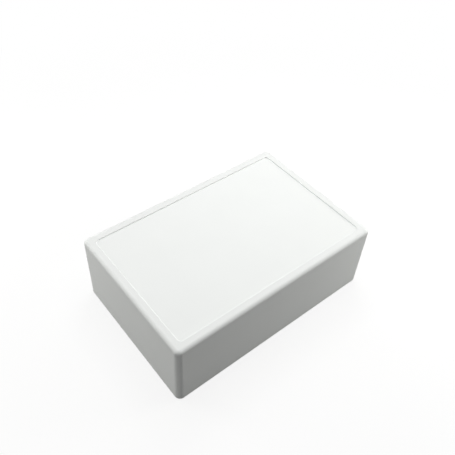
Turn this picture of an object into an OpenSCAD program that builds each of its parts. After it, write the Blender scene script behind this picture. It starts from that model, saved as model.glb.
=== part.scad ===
// Moulded plastic project box: a deep drafted housing with a framed label recess on top,
// a base cover let into its open underside, and the four screws that hold the cover.
// The closed box stands on its base. X runs along the length, Y across the width and Z up,
// and the origin is the centre of the base.

/* [Box] */
// Length of the box, measured at its base
box_l = 120; // [100:1:160]
// Width of the box, measured at its base
box_w = 80; // [66:1:110]
// Height of the closed box
box_h = 39; // [32:1:60]
// How far each side leans inwards between the base and the top edge
side_draft = 0.3; // [0.2:0.05:0.4]
// Radius of the upright corners at the base
corner_r = 3; // [3:0.1:5]
// Radius along the edges of the top
top_edge_r = 1.8; // [0.8:0.1:2]
// Bevel around the foot of the sides
foot_bevel = 0.4; // [0.2:0.1:0.6]

/* [Label recess] */
// Width of the raised frame that is left around the recess
frame_w = 4.6; // [3:0.1:8]
// Depth of the recess below the frame
recess_depth = 0.5; // [0.3:0.1:0.8]
// Corner radius of the recess
recess_r = 2; // [1:0.5:4]
// Radius that rounds the frame's inner edge
frame_edge_r = 0.3; // [0.1:0.05:0.3]

/* [Walls and ribs] */
// Thickness of the side walls
wall_t = 2.2; // [1.8:0.1:2.2]
// Thickness of the top under the label recess
roof_t = 2.2; // [1.6:0.1:3]
// Thickness of the webs that tie each screw boss to its corner
web_t = 1.4; // [1:0.1:2]
// Distance of each screw boss from the two nearest sides
boss_inset = 7.2; // [6.8:0.1:9]
// Places of the card slots along each long wall, measured from its middle
card_slot_x = [-32, 0, 32];
// Width of a card slot
card_slot_w = 1.8; // [1.6:0.1:2.4]
// How far a card rib stands out of the wall near the base
card_rib_reach = 1.8; // [1.2:0.1:2.4]

/* [Board standoffs] */
// Distance between the standoffs along the length
standoff_span_x = 84; // [40:1:88]
// Distance between the standoffs across the width
standoff_span_y = 46; // [20:1:48]
// Height of the standoffs under the roof
standoff_h = 6; // [4:0.5:10]
// Radius of a standoff at its free end
standoff_r = 2.8; // [2.4:0.1:3.4]
// Radius of the screw pilot in the standoffs and the bosses
pilot_r = 1.25; // [1:0.05:1.4]

/* [Base cover] */
// Thickness of the base cover
cover_t = 2; // [1.8:0.1:3]
// Gap between the cover's edge and the housing
cover_gap = 0.15; // [0.05:0.05:0.3]
// Height of the locating ribs on the cover's inside
locating_h = 2.5; // [1.5:0.5:4]

/* [Screws] */
// Radius of the countersunk heads
head_r = 2.75; // [2.5:0.05:3]
// Length of a screw over its head
screw_l = 9.5; // [8:0.5:12]

/* [Hidden] */

$fn = 64;
overlap = 1;
box_colour = [0.93, 0.94, 0.94];
screw_colour = [0.62, 0.63, 0.65];

// A length rounded to a hundredth of a millimetre
function hundredth(v) = round(v * 100) / 100;

// The lean of a side that starts at the base and keeps the box's draft up to a height
function lean_to(h) = hundredth(side_draft * h / (box_h - top_edge_r));

// The box's top, where the sides have leaned in
top_l = box_l - 2 * side_draft;
top_w = box_w - 2 * side_draft;

// The inside of the housing
recess_floor_z = box_h - recess_depth;
roof_z = recess_floor_z - roof_t;
cavity_l = box_l - 2 * wall_t;
cavity_w = box_w - 2 * wall_t;
cavity_r = corner_r - wall_t;
cavity_lean = lean_to(roof_z);
cavity_edge_r = hundredth((cavity_r - cavity_lean) / 2);

// The step in the walls that takes the cover: half of the wall's thickness
step_w = wall_t / 2;
step_l = box_l - 2 * step_w;
step_across = box_w - 2 * step_w;
step_r = corner_r - step_w;

// The screw bosses grow towards the roof, so that the mould lets go of them
boss_x = box_l / 2 - boss_inset;
boss_y = box_w / 2 - boss_inset;
boss_tip_r = 3.1;
boss_root_r = 3.5;
pilot_depth = 11;
pilot_bevel = 0.5;

// The standoffs widen towards the roof, and each has two crossing gussets
standoff_flare = 0.3;
standoff_floor_t = 1;
standoff_z = roof_z - standoff_h;
gusset_t = 1.2;
gusset_reach = 6;
gusset_h = 0.75 * standoff_h;
gusset_foot = 0.8 * standoff_r;

// The card ribs start above the cover's locating ribs, with a sloped lead-in
card_rib_t = 1.1;
card_rib_gap = 1;
card_rib_z = cover_t + locating_h + card_rib_gap;
card_lead_h = 2.5;
card_lead_in = 1.5;

// The cover's locating ribs stand just inside the walls, between the screw bosses
locating_t = 1.3;
locating_gap = 0.25;
boss_to_rib = 10;
locating_l = 2 * (boss_x - boss_to_rib);
locating_w = 2 * (boss_y - boss_to_rib);
locating_x = cavity_l / 2 - lean_to(cover_t + locating_h) - locating_gap;
locating_y = cavity_w / 2 - lean_to(cover_t + locating_h) - locating_gap;

// The countersunk holes in the cover, and the heads that sit in them at the same 45 degrees
head_clearance = 0.15;
sink_mouth_r = head_r + head_clearance;
sink_land = 0.25;
clearance_r = 1.6;
head_drop = 0.15;
head_land = 0.25;
shank_r = 1.1;
screw_tip_h = 1.8;
screw_tip_r = 0.3;
cross_l = 3;
cross_foot_l = 1.5;
cross_w = 0.7;
cross_depth = 1.2;

// A quarter of a disc between the +x and +y directions
module quarter_disc(r) {
    intersection() {
        circle(r = r);
        square(r + overlap);
    }
}

// A rectangle with round corners
module rounded_rectangle(l, w, r) {
    square([l - 2 * r, w], center = true);
    square([l, w - 2 * r], center = true);
    for (turn = [0, 180]) {
        rotate(turn) translate([l / 2 - r, w / 2 - r]) quarter_disc(r);
        rotate(turn) translate([r - l / 2, w / 2 - r]) mirror([1, 0]) quarter_disc(r);
    }
}

// Half of an upright section: a bevelled foot, a side that leans in, a round edge and a flat top
module side_profile(half, rise, lean, edge_r, bevel) {
    shoulder = half - lean - edge_r;
    polygon([
        [0, 0],
        [half - bevel, 0],
        [half, bevel],
        [half - lean, rise - edge_r],
        [shoulder, rise - edge_r],
        [shoulder, rise],
        [0, rise]
    ]);
    translate([shoulder, rise - edge_r]) quarter_disc(edge_r);
}

// A block with leaning sides, round upright corners and round top edges, standing on z = 0
module drafted_block(l, w, rise, r, lean, edge_r, bevel = 0) {
    mid_x = l / 2 - r;
    mid_y = w / 2 - r;
    for (turn = [0, 180]) rotate(turn) {
        rotate([90, 0, 90]) translate([0, 0, -mid_x])
            linear_extrude(2 * mid_x) side_profile(w / 2, rise, lean, edge_r, bevel);
        rotate([90, 0, 0]) translate([0, 0, -mid_y])
            linear_extrude(2 * mid_y) side_profile(l / 2, rise, lean, edge_r, bevel);
        translate([mid_x, mid_y])
            rotate_extrude(angle = 90) side_profile(r, rise, lean, edge_r, bevel);
        translate([-mid_x, mid_y]) rotate(90)
            rotate_extrude(angle = 90) side_profile(r, rise, lean, edge_r, bevel);
    }
}

// Half of the recess's section: a straight wall, then a flare that rounds the frame's inner edge
module recess_profile(half) {
    flare_z = box_h - frame_edge_r;
    difference() {
        polygon([
            [0, recess_floor_z],
            [half, recess_floor_z],
            [half, flare_z],
            [half + frame_edge_r, flare_z],
            [half + frame_edge_r, box_h + overlap],
            [0, box_h + overlap]
        ]);
        translate([half + frame_edge_r, flare_z]) mirror([1, 0]) quarter_disc(frame_edge_r);
    }
}

// The pocket that sinks the label area into the top
module recess_pocket() {
    l = top_l - 2 * frame_w;
    w = top_w - 2 * frame_w;
    mid_x = l / 2 - recess_r;
    mid_y = w / 2 - recess_r;
    for (turn = [0, 180]) rotate(turn) {
        rotate([90, 0, 90]) translate([0, 0, -mid_x]) linear_extrude(2 * mid_x) recess_profile(w / 2);
        rotate([90, 0, 0]) translate([0, 0, -mid_y]) linear_extrude(2 * mid_y) recess_profile(l / 2);
        translate([mid_x, mid_y]) rotate_extrude(angle = 90) recess_profile(recess_r);
        translate([-mid_x, mid_y]) rotate(90) rotate_extrude(angle = 90) recess_profile(recess_r);
    }
}

// Repeats what it is given at the four corners of a rectangle, turned so that it stays symmetric
module at_corners(x, y) {
    for (side_x = [-1, 1], side_y = [-1, 1])
        translate([side_x * x, side_y * y])
            mirror([side_x < 0 ? 1 : 0, 0]) mirror([0, side_y < 0 ? 1 : 0]) children();
}

// One screw boss with a web to the end wall and a web to the long wall
module screw_boss() {
    rise = roof_z - cover_t + overlap;
    web_end = boss_inset - wall_t / 2 - side_draft;
    translate([0, 0, cover_t]) {
        cylinder(h = rise, r1 = boss_tip_r, r2 = boss_root_r);
        translate([0, -web_t / 2, 0]) cube([web_end, web_t, rise]);
        translate([-web_t / 2, 0, 0]) cube([web_t, web_end, rise]);
    }
}

// The blind pilot hole in a screw boss, with a bevelled mouth under the cover
module pilot_hole() {
    translate([0, 0, cover_t - overlap]) cylinder(h = pilot_depth + overlap, r = pilot_r);
    translate([0, 0, cover_t]) cylinder(h = pilot_bevel, r1 = pilot_r + pilot_bevel, r2 = pilot_r);
}

// One standoff hanging from the roof, with its crossing gussets
module board_standoff() {
    translate([0, 0, standoff_z])
        cylinder(h = standoff_h + overlap, r1 = standoff_r, r2 = standoff_r + standoff_flare);
    for (turn = [0, 90]) rotate(turn)
        rotate([90, 0, 0]) translate([0, 0, -gusset_t / 2]) linear_extrude(gusset_t)
            polygon([
                [-gusset_foot, roof_z - gusset_h],
                [gusset_foot, roof_z - gusset_h],
                [gusset_reach, roof_z],
                [gusset_reach, roof_z + overlap],
                [-gusset_reach, roof_z + overlap],
                [-gusset_reach, roof_z]
            ]);
}

// The ribs that guide a card standing across the box, on the wall at +Y
module card_ribs() {
    root_y = box_w / 2 - side_draft - wall_t / 2;
    tip_y = cavity_w / 2 - card_rib_reach;
    rib_step = (card_slot_w + card_rib_t) / 2;
    for (slot_x = card_slot_x, side = [-1, 1])
        translate([slot_x + side * rib_step, 0, 0])
            rotate([90, 0, 90]) translate([0, 0, -card_rib_t / 2]) linear_extrude(card_rib_t)
                polygon([
                    [root_y, card_rib_z],
                    [tip_y + card_lead_in, card_rib_z],
                    [tip_y, card_rib_z + card_lead_h],
                    [tip_y, roof_z + overlap],
                    [root_y, roof_z + overlap]
                ]);
}

module housing() {
    color(box_colour) difference() {
        union() {
            difference() {
                drafted_block(box_l, box_w, box_h, corner_r, side_draft, top_edge_r, foot_bevel);
                recess_pocket();
                drafted_block(cavity_l, cavity_w, roof_z, cavity_r, cavity_lean, cavity_edge_r);
                translate([0, 0, -overlap])
                    linear_extrude(cover_t + overlap) rounded_rectangle(step_l, step_across, step_r);
            }
            at_corners(boss_x, boss_y) screw_boss();
            at_corners(standoff_span_x / 2, standoff_span_y / 2) board_standoff();
            for (turn = [0, 180]) rotate(turn) card_ribs();
        }
        at_corners(boss_x, boss_y) pilot_hole();
        at_corners(standoff_span_x / 2, standoff_span_y / 2)
            translate([0, 0, standoff_z - overlap])
                cylinder(h = standoff_h - standoff_floor_t + overlap, r = pilot_r);
    }
}

// A countersunk screw hole through the cover, with its mouth at z = 0
module countersunk_hole() {
    translate([0, 0, -overlap]) cylinder(h = cover_t + 2 * overlap, r = clearance_r);
    translate([0, 0, -overlap]) cylinder(h = sink_land + overlap, r = sink_mouth_r);
    translate([0, 0, sink_land])
        cylinder(h = sink_mouth_r - clearance_r, r1 = sink_mouth_r, r2 = clearance_r);
}

// The ribs that find the cover's place inside the walls
module locating_ribs() {
    for (turn = [0, 180]) rotate(turn) {
        translate([-locating_l / 2, locating_y - locating_t, cover_t - overlap])
            cube([locating_l, locating_t, locating_h + overlap]);
        translate([locating_x - locating_t, -locating_w / 2, cover_t - overlap])
            cube([locating_t, locating_w, locating_h + overlap]);
    }
}

module base_cover() {
    color(box_colour) difference() {
        union() {
            linear_extrude(cover_t)
                rounded_rectangle(step_l - 2 * cover_gap, step_across - 2 * cover_gap, step_r - cover_gap);
            locating_ribs();
        }
        at_corners(boss_x, boss_y) countersunk_hole();
    }
}

// The crossed slot in a screw's head, narrowing inwards
module cross_recess() {
    for (turn = [0, 90]) rotate(turn)
        rotate([90, 0, 0]) translate([0, 0, -cross_w / 2]) linear_extrude(cross_w)
            polygon([
                [-cross_l / 2, -overlap],
                [cross_l / 2, -overlap],
                [cross_l / 2, 0],
                [cross_foot_l / 2, cross_depth],
                [-cross_foot_l / 2, cross_depth],
                [-cross_l / 2, 0]
            ]);
}

// One screw, head down, with the outer face of its head at z = 0
module cover_screw() {
    cone_h = head_r - shank_r;
    shank_z = head_land + cone_h;
    difference() {
        union() {
            cylinder(h = head_land, r = head_r);
            translate([0, 0, head_land]) cylinder(h = cone_h, r1 = head_r, r2 = shank_r);
            translate([0, 0, shank_z]) cylinder(h = screw_l - screw_tip_h - shank_z, r = shank_r);
            translate([0, 0, screw_l - screw_tip_h])
                cylinder(h = screw_tip_h, r1 = shank_r, r2 = screw_tip_r);
        }
        cross_recess();
    }
}

module cover_screws() {
    color(screw_colour) at_corners(boss_x, boss_y) translate([0, 0, head_drop]) cover_screw();
}

housing();
base_cover();
cover_screws();
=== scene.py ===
"""Looks of the plastic project box: its finishes, a pale table, soft lamps and the camera."""

import math

import bpy
from mathutils import Matrix, Vector


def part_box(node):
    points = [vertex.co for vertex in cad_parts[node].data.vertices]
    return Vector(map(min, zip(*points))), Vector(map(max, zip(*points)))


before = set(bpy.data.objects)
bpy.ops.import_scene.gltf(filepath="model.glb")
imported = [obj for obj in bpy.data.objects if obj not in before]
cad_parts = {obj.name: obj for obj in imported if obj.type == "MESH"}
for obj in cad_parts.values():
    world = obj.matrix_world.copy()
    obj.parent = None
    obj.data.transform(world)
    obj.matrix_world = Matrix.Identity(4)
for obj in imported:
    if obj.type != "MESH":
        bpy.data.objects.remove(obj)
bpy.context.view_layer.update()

MM = 0.001

# ---------------------------------------------------------------- places on the box
BOX_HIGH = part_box("housing")[1]
# How far the draft brings each side in on its way up
SIDE_DRAFT = 0.3 * MM
FRAME_W = 4.6 * MM
FRAME_EDGE_R = 0.3 * MM
RECESS_DEPTH = 0.5 * MM
RECESS_R = 2.0 * MM
TOP_Z = BOX_HIGH.z
RECESS_FLOOR_Z = TOP_Z - RECESS_DEPTH
RECESS_HALF_X = BOX_HIGH.x - SIDE_DRAFT - FRAME_W
RECESS_HALF_Y = BOX_HIGH.y - SIDE_DRAFT - FRAME_W
# How far below the recess its mask starts, so that it holds the whole floor
MASK_PLAY = 0.1 * MM

# The plastic's white leans a little to green
PLASTIC_TINT = (0.982, 1.0, 0.986)
# Its spark-eroded grain, and the faint clouds in its colour
GRAIN_SIZE = 0.35 * MM
GRAIN_DEPTH = 0.06 * MM
CLOUD_SIZE = 14 * MM
# The mottle of the screws' zinc
ZINC_SIZE = 0.6 * MM
ZINC_DEPTH = 0.01 * MM
DULL_ZINC = (1.0, 1.0, 1.03)
BRIGHT_ZINC = (1.0, 1.0, 1.02)


class Value:
    """A socket that takes part in ordinary sums, where each sign adds one Math node."""

    def __init__(self, finish, socket):
        self.finish = finish
        self.socket = socket

    def sum(self, operation, *terms):
        return self.finish.node("Math", {"operation": operation}, dict(enumerate(terms)))

    def __add__(self, other):
        return self.sum("ADD", self, other)

    def __radd__(self, other):
        return self.sum("ADD", other, self)

    def __sub__(self, other):
        return self.sum("SUBTRACT", self, other)

    def __rsub__(self, other):
        return self.sum("SUBTRACT", other, self)

    def __mul__(self, other):
        return self.sum("MULTIPLY", self, other)

    def __rmul__(self, other):
        return self.sum("MULTIPLY", other, self)

    def below(self, other):
        """1 where this is less than the other, and 0 elsewhere."""
        return self.sum("LESS_THAN", self, other)

    def above(self, other):
        """1 where this is more than the other, and 0 elsewhere."""
        return self.sum("GREATER_THAN", self, other)

    def between(self, low, high):
        return self.above(low) * self.below(high)


class Finish:
    """The nodes of one material, or of the surroundings."""

    def __init__(self, owner):
        owner.use_nodes = True
        self.owner = owner
        self.tree = owner.node_tree
        self.tree.nodes.clear()

    def node(self, kind, settings=None, inputs=None, output=0):
        """Adds a node: its settings first, then the values or links of its sockets."""
        made = self.tree.nodes.new("ShaderNode" + kind)
        for name, value in (settings or {}).items():
            setattr(made, name, value)
        for name, value in (inputs or {}).items():
            if isinstance(value, Value):
                self.tree.links.new(value.socket, made.inputs[name])
            else:
                made.inputs[name].default_value = value
        return Value(self, made.outputs[output] if made.outputs else None)

    def others(self, value):
        """All outputs of the node that a value came from, by name."""
        return {out.name: Value(self, out) for out in value.socket.node.outputs}

    def place(self):
        """The point of the surface in the box's own frame, in metres."""
        return self.node("TexCoord", output="Object")

    def height(self, place):
        """How far the point lies above the box's foot."""
        return self.others(self.node("SeparateXYZ", None, {0: place}))["Z"]

    def vector(self, operation, first, second=None, output=0):
        inputs = {0: first} if second is None else {0: first, 1: second}
        return self.node("VectorMath", {"operation": operation}, inputs, output)

    def outside(self, place, half_x, half_y, radius):
        """How far the point lies outside a rectangle with round corners, seen from above."""
        corner = (half_x - radius, half_y - radius, 0.0)
        past_corner = self.vector("SUBTRACT", self.vector("ABSOLUTE", place), corner)
        past_corner = self.vector("MAXIMUM", past_corner, (0.0, 0.0, 0.0))
        flat = self.vector("MULTIPLY", past_corner, (1.0, 1.0, 0.0))
        return self.vector("LENGTH", flat, output="Value") - radius

    def noise(self, place, size, detail, roughness):
        """Noise from 0 to 1 whose blotches are about size metres across."""
        inputs = {"Vector": place, "Scale": 1 / size, "Detail": detail, "Roughness": roughness}
        return self.node("TexNoise", None, inputs)

    def fade(self, value, low, high):
        """A smooth climb from 0 at low to 1 at high."""
        inputs = {"Value": value, "From Min": low, "From Max": high}
        return self.node("MapRange", {"interpolation_type": "SMOOTHSTEP"}, inputs)

    def mix(self, share, first, second):
        """Mixes two colours: the share of the second is from 0 to 1. Sockets 6 and 7 are the colours."""
        return self.node("Mix", {"data_type": "RGBA"}, {0: share, 6: first, 7: second}, 2)

    def bump(self, height, distance, strength=1.0):
        return self.node("Bump", None, {"Height": height, "Distance": distance, "Strength": strength})

    def seen(self):
        """1 for what the camera, a reflection or a clear body sees, and 0 for the light that it gives."""
        path = self.others(self.node("LightPath"))
        return path["Is Camera Ray"] + path["Is Glossy Ray"] + path["Is Transmission Ray"]

    def surface(self, **inputs):
        """Ends the material with a Principled shader."""
        shader = self.node("BsdfPrincipled", None, {k.replace("_", " "): v for k, v in inputs.items()})
        self.node("OutputMaterial", None, {"Surface": shader})
        return self.owner


def grey(level, tint=(1.0, 1.0, 1.0)):
    """An opaque grey of the given level, which the tint can lean to a colour."""
    return tuple(level * t for t in tint) + (1.0,)


# ---------------------------------------------------------------- finishes
def moulded_white(name, label_recess):
    """White moulded plastic with a fine spark-eroded grain, and a smoother label recess on the housing,
    whose lighter white is painted sheen.
    """
    finish = Finish(bpy.data.materials.new(name))
    place = finish.place()
    z = finish.height(place)
    grain = finish.noise(place, GRAIN_SIZE, detail=3.0, roughness=0.6)
    clouds = finish.noise(place, CLOUD_SIZE, detail=1.5, roughness=0.45)
    roughness = 0.5 + clouds * 0.03 + grain * 0.04
    relief = 0.5
    colour = finish.mix(clouds, grey(0.85, PLASTIC_TINT), grey(0.87, PLASTIC_TINT))
    if label_recess:
        past_wall = finish.outside(place, RECESS_HALF_X, RECESS_HALF_Y, RECESS_R)
        recess = past_wall.below(0.0) * z.above(RECESS_FLOOR_Z - MASK_PLAY)
        rounded_edge = past_wall.between(0.0, FRAME_EDGE_R) * z.above(TOP_Z - FRAME_EDGE_R)
        roughness = roughness - recess * 0.05 - rounded_edge * 0.2
        relief = 0.5 - recess * 0.3 - rounded_edge * 0.4
        # Painted sheen: the recess floor is given a lighter white that stands in for the brighter look its
        # smoother surface gets from reflected light.
        painted_sheen_white = finish.mix(clouds, grey(0.88, PLASTIC_TINT), grey(0.9, PLASTIC_TINT))
        colour = finish.mix(recess, colour, painted_sheen_white)
    normal = finish.bump(grain * relief, GRAIN_DEPTH)
    return finish.surface(
        Base_Color=colour,
        Roughness=roughness,
        Normal=normal,
        IOR=1.45,
        Specular_IOR_Level=0.3,
    )


def zinc(name):
    """Zinc-plated steel, slightly dull."""
    finish = Finish(bpy.data.materials.new(name))
    place = finish.place()
    mottle = finish.noise(place, ZINC_SIZE, detail=3.0, roughness=0.6)
    colour = finish.mix(mottle, grey(0.5, DULL_ZINC), grey(0.66, BRIGHT_ZINC))
    roughness = 0.26 + mottle * 0.16
    normal = finish.bump(mottle, ZINC_DEPTH, strength=0.4)
    return finish.surface(Base_Color=colour, Roughness=roughness, Normal=normal, Metallic=1.0)


def dress(node, material):
    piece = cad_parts[node]
    piece.data.materials.clear()
    piece.data.materials.append(material)


dress("housing", moulded_white("moulded_white", True))
dress("base_cover", moulded_white("cover_white", False))
dress("cover_screws", zinc("zinc_plate"))


# ---------------------------------------------------------------- the table and the surroundings
PAPER = 0.3
SHADOW_SHARE = 0.2
SHADOW_NEAR = 0.1
SHADOW_FAR = 0.3
TABLE_HALF = 2.0
TABLE_DROP = 0.02 * MM
SKY = 0.02

# Each lamp's name, place, size and level, and the colour of each group
TOP_LIGHT = (1.0, 1.0, 1.0)
TOP_LAMPS = (
    ("overhead", (0.0, 0.05, 0.80), 0.80, 2.4),
    ("far_low", (0.12, 0.18, 0.35), 0.20, 0.75),
    ("far_right", (0.18, 0.16, 0.28), 0.20, 2.0),
)
SIDE_LIGHT = (1.0, 1.0, 0.965)
SIDE_LAMPS = (
    ("left_mid", (-0.40, 0.02, 0.12), 0.20, 1.15),
    ("left_low", (-0.20, 0.24, 0.10), 0.14, 4.4),
    ("right_low", (0.26, -0.13, 0.10), 0.14, 6.7),
)
LAMP_AIM = (0.0, 0.0, 0.02)


def table():
    """A pale table that the camera sees white, with the box's soft shadow on it."""
    finish = Finish(bpy.data.materials.new("pale_table"))
    seen = finish.seen()
    from_box = finish.vector("LENGTH", finish.place(), output="Value")
    white = 1.0 - SHADOW_SHARE * (1.0 - finish.fade(from_box, SHADOW_NEAR, SHADOW_FAR))
    paper = finish.node("BsdfDiffuse", None, {"Color": finish.mix(seen, grey(PAPER), grey(1.0))})
    glow = finish.node("Emission", None, {"Color": grey(1.0), "Strength": 1.0})
    both = finish.node("MixShader", None, {0: seen * white, 1: paper, 2: glow})
    finish.node("OutputMaterial", None, {"Surface": both})
    corners = [(-1, -1), (1, -1), (1, 1), (-1, 1)]
    mesh = bpy.data.meshes.new("table")
    mesh.from_pydata([(x * TABLE_HALF, y * TABLE_HALF, 0.0) for x, y in corners], [], [(0, 1, 2, 3)])
    mesh.materials.append(finish.owner)
    piece = bpy.data.objects.new("table", mesh)
    piece.location.z = -TABLE_DROP
    bpy.context.scene.collection.objects.link(piece)


def surroundings(level):
    """An even sky for the light, white where it is seen."""
    finish = Finish(bpy.data.worlds.new("studio"))
    even = finish.node("Background", None, {"Color": grey(1.0), "Strength": level})
    white = finish.node("Background", None, {"Color": grey(1.0), "Strength": 1.0})
    both = finish.node("MixShader", None, {0: finish.seen(), 1: even, 2: white})
    finish.node("OutputWorld", None, {"Surface": both})
    bpy.context.scene.world = finish.owner


def softbox(name, at, size, level, colour):
    """A square lamp of an even brightness, where level 1 shines like white paper in full light."""
    lamp = bpy.data.lights.new(name, "AREA")
    lamp.shape = "SQUARE"
    lamp.size = size
    lamp.color = colour
    lamp.energy = level * math.pi * size * size
    piece = bpy.data.objects.new(name, lamp)
    piece.location = at
    piece.rotation_euler = (Vector(LAMP_AIM) - Vector(at)).to_track_quat("-Z", "Y").to_euler()
    piece.visible_camera = False
    bpy.context.scene.collection.objects.link(piece)


table()
surroundings(SKY)
for lamps, lamp_colour in ((TOP_LAMPS, TOP_LIGHT), (SIDE_LAMPS, SIDE_LIGHT)):
    for lamp in lamps:
        softbox(*lamp, lamp_colour)


# ---------------------------------------------------------------- the camera
def camera(at, heading, pitch, roll, lens):
    """Looks down on the corner between the front and the left end. The angles are in degrees."""
    data = bpy.data.cameras.new("camera")
    data.sensor_width = 36.0
    data.lens = lens
    data.clip_start = 0.01
    data.clip_end = 20.0
    piece = bpy.data.objects.new("camera", data)
    turn = Matrix.Rotation(math.radians(-heading), 4, "Z")
    turn = turn @ Matrix.Rotation(math.radians(90 - pitch), 4, "X")
    turn = turn @ Matrix.Rotation(math.radians(-roll), 4, "Z")
    piece.matrix_world = Matrix.Translation(at) @ turn
    bpy.context.scene.collection.objects.link(piece)
    bpy.context.scene.camera = piece


camera(at=(-0.12498, -0.13913, 0.23908), heading=41.487, pitch=46.208, roll=-3.792, lens=43.99)
bpy.context.scene.view_settings.view_transform = "Standard"
